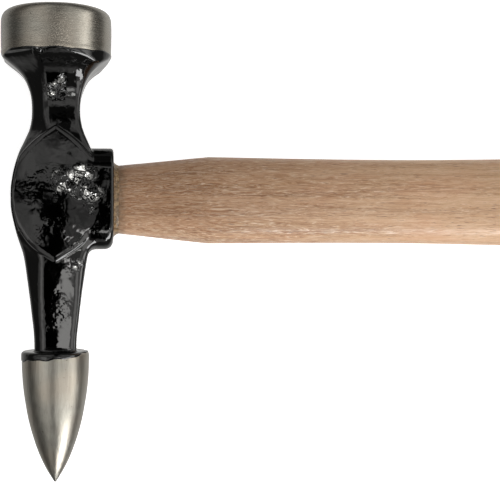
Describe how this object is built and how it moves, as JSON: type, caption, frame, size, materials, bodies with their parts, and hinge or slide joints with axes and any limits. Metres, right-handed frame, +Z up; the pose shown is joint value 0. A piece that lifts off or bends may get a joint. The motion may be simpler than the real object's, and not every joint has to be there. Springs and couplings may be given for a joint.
{
  "type": "blacksmith hammer",
  "caption": "Hand hammer with a round flat face, octagonal necks, round-cheeked eye with a collar, pointed peen and a wedged oval wooden handle.",
  "frame": {"origin": "on the surface the hammer lies on, under the middle of its bounding box", "axes": "+X along the handle towards the butt, +Y along the head towards the striking face, +Z up out of the upper cheek"},
  "size_m": [0.32, 0.1708, 0.04],
  "materials": {
    "black_lacquer": "thick glossy dipped lacquer on forged steel",
    "ground_steel": "ground and buffed, warm grey, fine marks round the work",
    "hickory": "sanded, thin clear varnish",
    "wedge_wood": "raw end grain, ground flush",
    "resin": "cured olive-brown resin"
  },
  "bodies": {
    "root": {"hammer_head": "black_lacquer", "handle": "hickory", "wooden_wedge": "wedge_wood", "steel_wedge_face_side": "ground_steel", "steel_wedge_peen_side": "ground_steel", "resin_bead": "resin"}
  },
  "joints": []
}
